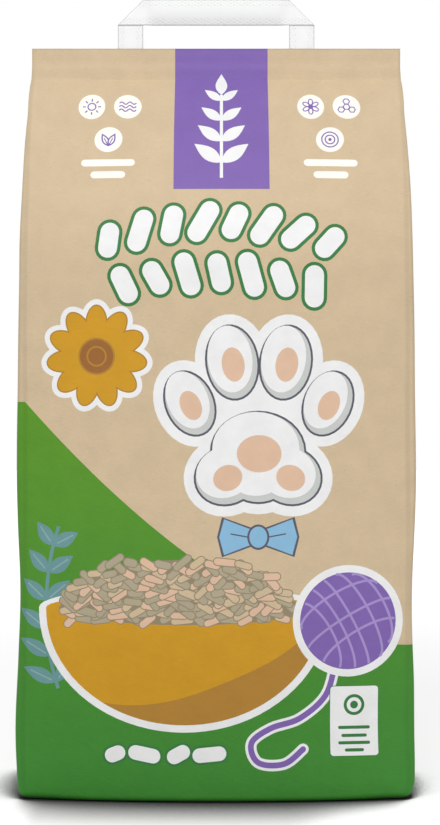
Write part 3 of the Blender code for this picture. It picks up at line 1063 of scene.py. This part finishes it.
def kraft_grain(tube):
    """A node group of paper fibres, flecks, cloudy formation and fine crinkles, with painted shade
    along the side folds, down the gusset creases and under the cut top edge, all on the sheet's own
    place."""
    group = bpy.data.node_groups.new("Kraft grain", "ShaderNodeTree")
    for label, kind, default in (
        ("Place", "NodeSocketVector", (0, 0, 0)),
        ("Colour", "NodeSocketColor", (0.6, 0.5, 0.35, 1)),
        ("Fibres", "NodeSocketFloat", 1.0),
        ("Roughness", "NodeSocketFloat", 0.6),
    ):
        socket = group.interface.new_socket(name=label, in_out="INPUT", socket_type=kind)
        socket.default_value = default
    for label, kind in (
        ("Colour", "NodeSocketColor"),
        ("Roughness", "NodeSocketFloat"),
        ("Height", "NodeSocketFloat"),
    ):
        group.interface.new_socket(name=label, in_out="OUTPUT", socket_type=kind)
    nodes = Nodes(group)
    given = group.nodes.new("NodeGroupInput").outputs
    place = given["Place"]
    strands = []
    for turn, scale in ((0.2, (260, 2300, 1)), (1.3, (230, 2100, 1)), (2.4, (280, 2500, 1))):
        strands.append(nodes.grain(place, turn, scale))
    fibre = nodes.math("MAXIMUM", strands[0], nodes.math("MAXIMUM", strands[1], strands[2]))
    fleck = nodes.grain(place, 0.7, (500, 900, 1))

    # pale fibres, dark fibres and flecks
    toned = given["Colour"]
    for value, low, high, amount, tint in (
        (fibre, 0.60, 0.78, 0.16, (1, 1, 1, 1)),
        (strands[1], 0.36, 0.24, 0.22, (0.18, 0.11, 0.05, 1)),
        (fleck, 0.70, 0.78, 0.30, (0.14, 0.08, 0.04, 1)),
    ):
        most = nodes.math("MULTIPLY", given["Fibres"], amount)
        toned = nodes.mix(nodes.math("MULTIPLY", nodes.ramp(value, low, high), most), toned, tint)

    sides = nodes.split(place)
    off = nodes.math("ABSOLUTE", sides["X"])
    from_crease = nodes.math("ABSOLUTE", nodes.math("SUBTRACT", off, tube.quarter))
    from_fold = nodes.math("SUBTRACT", from_crease, tube.gusset_width / 2)
    # painted shade: darker along the side folds, down the gusset creases and just under the cut top edge
    folded = nodes.ramp(nodes.math("ABSOLUTE", from_fold), 0.0024, 0.0006, 0.0, 0.10)
    crease_shade = nodes.ramp(from_crease, 0.0014, 0.0004, 0.0, 0.08)
    cut = nodes.ramp(sides["Y"], tube.height - 0.0013, tube.height - 0.0005, 0.0, 0.16)
    # pressed holds that painted shade of the folds, the creases and the top edge together
    pressed = nodes.math("MAXIMUM", nodes.math("MAXIMUM", folded, crease_shade), cut)
    cloudy = nodes.ramp(nodes.noise(place, 60.0, 4.0, 0.6), 0.25, 0.75, 0.955, 1.03)
    shade = nodes.math("MULTIPLY", cloudy, nodes.math("SUBTRACT", 1.0, pressed))

    uneven = nodes.math("MULTIPLY_ADD", fibre, 0.16, -0.08)
    crinkle = nodes.grain(place, 0.1, (150, 210, 1), 4.0, 0.55)
    tooth = nodes.math("MULTIPLY", fibre, 0.000035)
    nodes.feed(group.nodes.new("NodeGroupOutput"), {
        "Colour": nodes.mix(1.0, toned, nodes.grey(shade), "MULTIPLY"),
        "Roughness": nodes.math("ADD", given["Roughness"], uneven),
        "Height": nodes.math("MULTIPLY_ADD", crinkle, 0.00022, tooth),
    })
    return group


def new_material(name):
    """A material, what adds nodes to it and its shader."""
    material = bpy.data.materials.new(name)
    material.use_nodes = True
    return material, Nodes(material.node_tree), material.node_tree.nodes["Principled BSDF"]


def paper_material(name, tint, low_tint, grain, fibres, roughness):
    """Paper in one ink, or bare. A second tint, if given, is the colour it turns to towards the base of
    the sack.
    """
    material, nodes, shader = new_material(name)
    material.diffuse_color = ink = (*tint, 1)
    place = nodes.add("ShaderNodeUVMap", uv_map="Sheet")["UV"]
    if low_tint:
        risen = nodes.ramp(nodes.split(place)["Y"], 0.0, 0.26)
        ink = nodes.mix(risen, (*low_tint, 1), ink)
    sockets = {"Place": place, "Colour": ink, "Fibres": fibres, "Roughness": roughness}
    paper = nodes.add("ShaderNodeGroup", sockets, node_tree=grain)
    nodes.feed(shader, {
        "Base Color": paper["Colour"],
        "Roughness": paper["Roughness"],
        "Normal": nodes.relief(paper["Height"]),
        "Specular IOR Level": 0.35,
    })
    return material


def tape_material(form, tint):
    """White woven tape: satin ribs in the middle and knurled bands, with painted shade in the knurls'
    pits, along both edges and along the folds.
    """
    material, nodes, shader = new_material("woven_tape")
    material.diffuse_color = (*tint, 1)
    place = nodes.add("ShaderNodeUVMap", uv_map="Tape")["UV"]
    sides = nodes.split(place)
    across, along = sides["X"], sides["Y"]
    off = nodes.math("ABSOLUTE", across)
    half = form.tape_width / 2
    inner = half - form.selvedge - form.knurl_width
    banded = nodes.ramp(off, inner, inner + BAND_EDGE)
    # painted shade along both edges of the tape
    edge_shade = nodes.ramp(off, half - form.selvedge, half - form.selvedge * 0.5)

    def wave(value, pitch, start=0.0):
        return nodes.math("SINE", nodes.math("MULTIPLY_ADD", value, 2 * math.pi / pitch, start))

    rows = wave(nodes.math("SUBTRACT", off, inner), form.knurl_width / 2, -math.pi / 2)
    dots = nodes.math("MULTIPLY", wave(along, form.knurl_pitch), rows)
    # painted shade in the pits of the knurled bands
    pit_shade = nodes.math("MULTIPLY", nodes.ramp(dots, 0.1, -0.9), banded)
    uneven = nodes.ramp(nodes.noise(place, 240.0), 0.30, 0.62, 0.35, 1.0)
    pit_shade = nodes.math("MULTIPLY", pit_shade, uneven)
    rib_pitch, weft_pitch = 0.00045, 0.00070
    ribs = wave(across, rib_pitch)
    weave = nodes.math("MULTIPLY", ribs, wave(along, weft_pitch))

    # painted shade along the diagonal folds at the grip's corners
    to_fold = nodes.math("ADD", nodes.math("ABSOLUTE", along), across)
    to_fold = nodes.math("SUBTRACT", to_fold, (form.width - form.tape_width) / 2)
    folded = nodes.ramp(nodes.math("ABSOLUTE", to_fold), 0.0009, 0.0003)

    shade = nodes.math("MULTIPLY", pit_shade, 0.16)
    shade = nodes.math("MULTIPLY_ADD", nodes.math("MAXIMUM", edge_shade, folded), 0.50, shade)
    shade = nodes.math("MULTIPLY_ADD", nodes.ramp(weave, -1, 1), 0.025, shade)
    darker = [value * 0.30 for value in tint]
    gloss = nodes.math("MULTIPLY_ADD", banded, 0.20, 0.36)
    raised_ribs = nodes.math("MULTIPLY", ribs, 0.00002)
    nodes.feed(shader, {
        "Base Color": nodes.mix(shade, (*tint, 1), (*darker, 1)),
        "Roughness": nodes.math("MULTIPLY_ADD", weave, 0.05, gloss),
        "Normal": nodes.relief(nodes.math("MULTIPLY_ADD", weave, 0.000012, raised_ribs)),
    })
    return material


# Operators

class SACK_OT_paper_sack(bpy.types.Operator):
    """Model the filled paper sack with its print"""

    bl_idname = "sack.paper_sack"
    bl_label = "Paper sack"

    def execute(self, context):
        scene = context.scene
        tube = PaperTube(scene.sack_form)
        colours = scene.sack_colours
        inks = [name for name in colours.__annotations__ if name not in ("low_green", "tape")]
        bm, sheet_map = printed_sheet(tube, PrintDesign(tube).draw(), inks)
        bake_map = bm.loops.layers.uv.new("OFBake")
        for loop in face_corners(bm):
            loop[bake_map].uv = bake_place(tube, *loop[sheet_map].uv)
        ends = open_edges(bm, 0, tube.left_end) + open_edges(bm, 0, tube.right_end)
        for vert in bm.verts:
            vert.co = tube.place(vert.co.x, vert.co.y)
        close_lap(bm, tube, ends, sheet_map, bake_map)
        close_top(bm, tube, scene.sack_tape)
        close_base(bm, tube, inks.index("green"))
        # what isn't of the sheet: the base at the left of the map's foot, the top edge at its right
        for loop in face_corners(bm):
            if loop[bake_map].uv.length < 1e-9:
                x, y, z = loop.vert.co
                loop[sheet_map].uv = (x, y)
                loop[bake_map].uv = ((0.2 if z < tube.belly_height else 0.6) + x, 0.058 + 0.85 * y)
        for vert in bm.verts:
            vert.co.y += tube.seam_wave(vert.co.x, vert.co.z)
        bmesh.ops.recalc_face_normals(bm, faces=bm.faces)
        grain = kraft_grain(tube)
        materials = []
        for ink in inks:
            fibres, roughness = (1.0, 0.66) if ink == "kraft" else (0.15, 0.54)
            low = colours.low_green if ink == "green" else None
            tint = getattr(colours, ink)
            materials.append(paper_material(ink + "_paper", tint, low, grain, fibres, roughness))
        piece = linked_object("paper_sack", bm, materials, math.radians(38))
        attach(piece, "root")
        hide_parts("litter_bag")
        return {"FINISHED"}


def fold_over(bm, point, beyond, lift, radius):
    """Folds the tape back along the line through point, square to beyond. What lies past
    the line turns over towards lift, round a bend of the given radius."""
    bend = math.pi * radius
    start = point - beyond * bend / 2
    for vert in bm.verts:
        past = (vert.co - start).dot(beyond)
        if past <= 0:
            continue
        proud = vert.co.dot(lift)
        angle = min(past / radius, math.pi)
        returned = past - angle * radius
        along = (radius - proud) * math.sin(angle) - returned
        raised = radius - (radius - proud) * math.cos(angle)
        vert.co += beyond * (along - past) + lift * (raised - proud)


class SACK_OT_carry_handle(bpy.types.Operator):
    """Model the folded tape handle with its knurled edges"""

    bl_idname = "sack.carry_handle"
    bl_label = "Carry handle"

    def execute(self, context):
        form = context.scene.sack_form
        tube = PaperTube(form)
        tape = context.scene.sack_tape
        leg = (tape.width - tape.tape_width) / 2
        foot = form.height - tape.tuck
        grip = form.height + tape.rise - tape.tape_width / 2
        run = 2 * (grip - foot) + 2 * leg
        half = tape.tape_width / 2

        bm = bmesh.new()
        tape_map = bm.loops.layers.uv.new("Tape")
        wide, tall = round(tape.tape_width / tape.facet), round(run / tape.facet)
        bmesh.ops.create_grid(bm, x_segments=wide, y_segments=tall, size=0.5)
        bmesh.ops.scale(bm, vec=(tape.tape_width, run, 1), verts=bm.verts)
        for loop in face_corners(bm):
            loop[tape_map].uv = loop.vert.co.xy
        bmesh.ops.rotate(bm, matrix=Matrix.Rotation(math.pi / 2, 3, "X"), verts=bm.verts)
        bmesh.ops.translate(bm, verts=bm.verts, vec=(-leg, 0, foot + run / 2))
        bmesh.ops.recalc_face_normals(bm, faces=bm.faces)
        sheet = bmesh.ops.extrude_face_region(bm, geom=bm.faces[:])["geom"]
        lifted = of_type(sheet, bmesh.types.BMVert)
        bmesh.ops.translate(bm, verts=lifted, vec=(0, tape.thickness, 0))
        bmesh.ops.translate(bm, verts=bm.verts, vec=(0, -tape.thickness / 2, 0))
        bmesh.ops.recalc_face_normals(bm, faces=bm.faces)
        inner = half - tape.selvedge - tape.knurl_width
        middle = foot + run / 2
        for vert in bm.verts:
            off = abs(vert.co.x + leg)
            knurled = soft_step(off, inner, inner + BAND_EDGE) * soft_step(half - off, 0.0, tape.selvedge)
            along = math.sin(2 * math.pi * (vert.co.z - middle) / tape.knurl_pitch)
            across = math.sin(4 * math.pi * (off - inner) / tape.knurl_width - math.pi / 2)
            knurl = tape.knurl_height * knurled * along * across
            gripped = soft_step(leg - abs(vert.co.z - middle), 0.9 * half, 2.0 * half)
            bowed = tape.bow * (1 - (off / half) ** 2) + math.tan(tape.droop) * (vert.co.x + leg)
            vert.co.y += math.copysign(1, vert.co.y) * knurl + gripped * bowed
        radius = (tape.thickness + tape.fold_gap) / 2
        forward = Vector((0, -1, 0))
        up_left = Vector((-1, 0, 1)).normalized()
        up_right = Vector((1, 0, 1)).normalized()
        fold_over(bm, Vector((-leg, 0, grip)), up_left, forward, radius)
        grip_plane = 2 * radius * forward
        bmesh.ops.translate(bm, verts=bm.verts, vec=-grip_plane)
        fold_over(bm, Vector((leg, 0, grip)), up_right, -forward, radius)
        bmesh.ops.translate(bm, verts=bm.verts, vec=grip_plane)
        for vert in bm.verts:
            vert.co.y += tube.seam_wave(vert.co.x, min(vert.co.z, form.height))
        bmesh.ops.recalc_face_normals(bm, faces=bm.faces)
        material = tape_material(tape, context.scene.sack_colours.tape)
        piece = linked_object("tape_handle", bm, [material], math.radians(50))
        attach(piece, "root")
        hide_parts("carry_handle")
        return {"FINISHED"}


def soft_light(name, place, target, size, energy):
    """A square area light aimed at a point."""
    data = bpy.data.lights.new(name, "AREA")
    data.shape = "SQUARE"
    data.size = size
    data.energy = energy
    light = bpy.data.objects.new(name, data)
    light.location = place
    light.rotation_euler = (Vector(target) - Vector(place)).to_track_quat("-Z", "Y").to_euler()
    bpy.context.scene.collection.objects.link(light)


class SACK_OT_studio(bpy.types.Operator):
    """Set up the floor, the lights, the world and the camera"""

    bl_idname = "sack.studio"
    bl_label = "Studio"

    def execute(self, context):
        studio = context.scene.sack_studio
        self.floor(studio.floor_size)
        self.world(context.scene)
        self.camera(context.scene, studio)
        middle = (0, 0, 0.24)
        soft_light("key", (-0.30, -1.40, 1.45), middle, size=1.1, energy=16.5)
        soft_light("fill", (1.00, -1.40, 0.60), middle, size=1.2, energy=4.6)
        context.scene.view_settings.view_transform = "Standard"
        return {"FINISHED"}

    def floor(self, size):
        """A floor that is white to the eye, with a painted shadow that greys it near the sack, where the
        sack shuts off what lies round a place.
        """
        bm = bmesh.new()
        bmesh.ops.create_grid(bm, x_segments=1, y_segments=1, size=size / 2)
        material, nodes, shader = new_material("white_floor")
        place = nodes.add("ShaderNodeTexCoord")["Object"]
        away = nodes.add("ShaderNodeVectorMath", {0: place}, operation="LENGTH")["Value"]
        lit = nodes.ramp(away, 0.40, 1.80, 0.58, 0.84)
        across = nodes.split(place)["X"]
        # the painted shadow is weaker to the right and beyond both ends of the sack
        shadow_weakening = nodes.ramp(across, 0.040, 0.115, 1.05, 2.3)
        for side, more in ((1, 2.0), (-1, 1.5)):
            beside = nodes.ramp(across, side * 0.105, side * 0.140, 0.0, more)
            shadow_weakening = nodes.math("ADD", shadow_weakening, beside)
        # how much of what lies round a place the sack leaves open, which sets the painted shadow
        crevice = nodes.add("ShaderNodeAmbientOcclusion", {"Distance": 0.080})["AO"]
        open_share = nodes.math("MAXIMUM", nodes.math("MULTIPLY_ADD", crevice, 2.0, -1.0), 0.0)
        open_share = nodes.math("MULTIPLY", open_share, shadow_weakening)
        outside_painted_shadow = nodes.math("MINIMUM", nodes.math("POWER", open_share, 1.3), 1.0)
        lit = nodes.math("MULTIPLY", lit, outside_painted_shadow)
        # the painted shadow darkens the floor's colour as well as its glow
        nodes.feed(shader, {
            "Base Color": nodes.grey(nodes.math("MULTIPLY_ADD", outside_painted_shadow, 0.54, 0.06)),
            "Roughness": 0.9,
            "Specular IOR Level": 0.0,
            "Emission Color": (1, 1, 1, 1),
            "Emission Strength": nodes.math("MULTIPLY", nodes.seen_directly(), lit),
        })
        linked_object("floor", bm, [material], math.radians(30))

    def world(self, scene):
        """White surroundings that light the sack about half as much as they show."""
        scene.world = bpy.data.worlds.new("studio")
        scene.world.use_nodes = True
        tree = scene.world.node_tree
        nodes = Nodes(tree)
        strength = nodes.math("MULTIPLY_ADD", nodes.seen_directly(), 0.52, 0.48)
        nodes.feed(tree.nodes["Background"], {"Color": (1, 1, 1, 1), "Strength": strength})

    def camera(self, scene, studio):
        """A level camera whose frame has its height in the seam's plane."""
        data = bpy.data.cameras.new("camera")
        data.sensor_fit = "VERTICAL"
        data.sensor_height = studio.sensor
        data.lens = studio.sensor * studio.distance / studio.frame_height
        camera = bpy.data.objects.new("camera", data)
        camera.location = (studio.sideways, -studio.distance, studio.camera_height)
        camera.rotation_euler = (math.pi / 2, 0, 0)
        scene.collection.objects.link(camera)
        scene.camera = camera


class SACK_PT_panel(bpy.types.Panel):
    """Lists the pieces of the sack"""

    bl_idname = "SACK_PT_panel"
    bl_label = "Paper litter sack"
    bl_space_type = "VIEW_3D"
    bl_region_type = "UI"
    bl_category = "Sack"

    def draw(self, context):
        layout = self.layout
        for group, operator in (
            ("sack_form", SACK_OT_paper_sack),
            ("sack_tape", SACK_OT_carry_handle),
            ("sack_colours", None),
            ("sack_studio", SACK_OT_studio),
        ):
            box = layout.box()
            settings = getattr(context.scene, group)
            for name in settings.__annotations__:
                box.prop(settings, name)
            if operator:
                box.operator(operator.bl_idname)


CLASSES = (
    SackForm,
    TapeForm,
    PackColours,
    StudioForm,
    SACK_OT_paper_sack,
    SACK_OT_carry_handle,
    SACK_OT_studio,
    SACK_PT_panel,
)
SETTINGS = (
    ("sack_form", SackForm),
    ("sack_tape", TapeForm),
    ("sack_colours", PackColours),
    ("sack_studio", StudioForm),
)


def register():
    for cls in CLASSES:
        bpy.utils.register_class(cls)
    for name, group in SETTINGS:
        setattr(bpy.types.Scene, name, PointerProperty(type=group))


def unregister():
    for name, _ in SETTINGS:
        delattr(bpy.types.Scene, name)
    for cls in reversed(CLASSES):
        bpy.utils.unregister_class(cls)


def main():
    register()
    bpy.ops.sack.paper_sack()
    bpy.ops.sack.carry_handle()
    bpy.ops.sack.studio()


if __name__ == "__main__":
    main()
